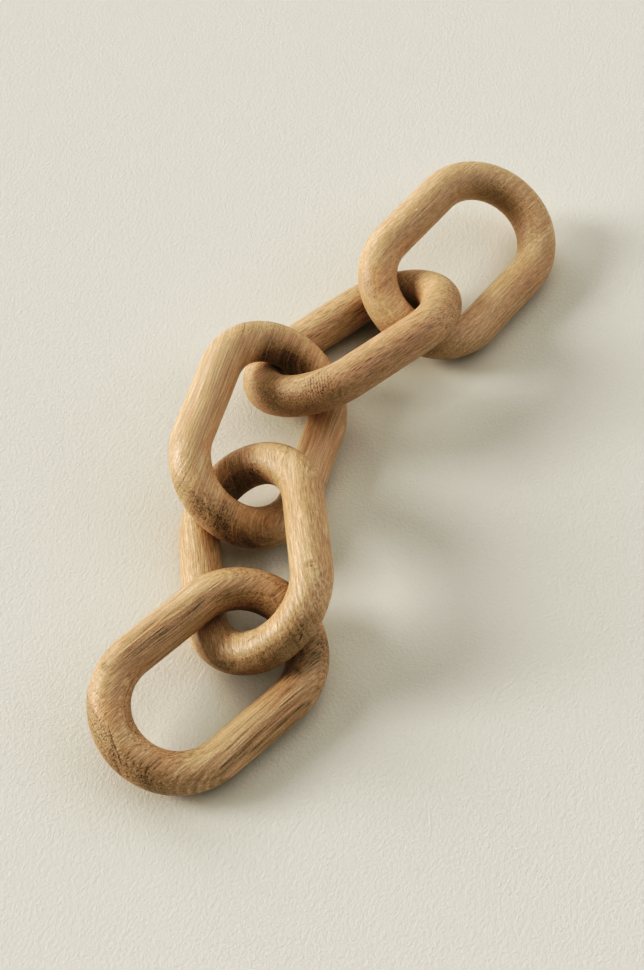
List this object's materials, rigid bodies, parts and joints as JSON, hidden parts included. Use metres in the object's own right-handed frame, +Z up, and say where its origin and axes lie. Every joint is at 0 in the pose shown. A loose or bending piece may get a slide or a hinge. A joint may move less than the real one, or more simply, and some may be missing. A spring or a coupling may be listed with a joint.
{
  "type": "wooden chain",
  "caption": "Loose ornamental chain of interlocked oval links, each carved from round-section wood, lying slack to trail over a shelf or table.",
  "frame": {"origin": "on the surface that the chain lies on, under the middle of its outside box", "axes": "+X along the chain from link_1 to link_5, +Y across it, +Z up"},
  "size_m": [0.4867, 0.1592, 0.0706],
  "materials": {
    "link_1_wood": "honey brown wood, sanded and left matt, streaked along the link with end grain at the bows",
    "link_2_wood": "pale straw wood, sanded and left matt, with small dark pores",
    "link_3_wood": "pale yellow wood, sanded and left matt, with dark speckled end grain at the bows",
    "link_4_wood": "pinkish brown wood, sanded and left matt, with fine pore dashes",
    "link_5_wood": "light brown wood, sanded and left matt, with a faint reddish patch"
  },
  "bodies": {
    "root": {"link_1": "link_1_wood", "link_2": "link_2_wood", "link_3": "link_3_wood", "link_4": "link_4_wood", "link_5": "link_5_wood"}
  },
  "joints": []
}
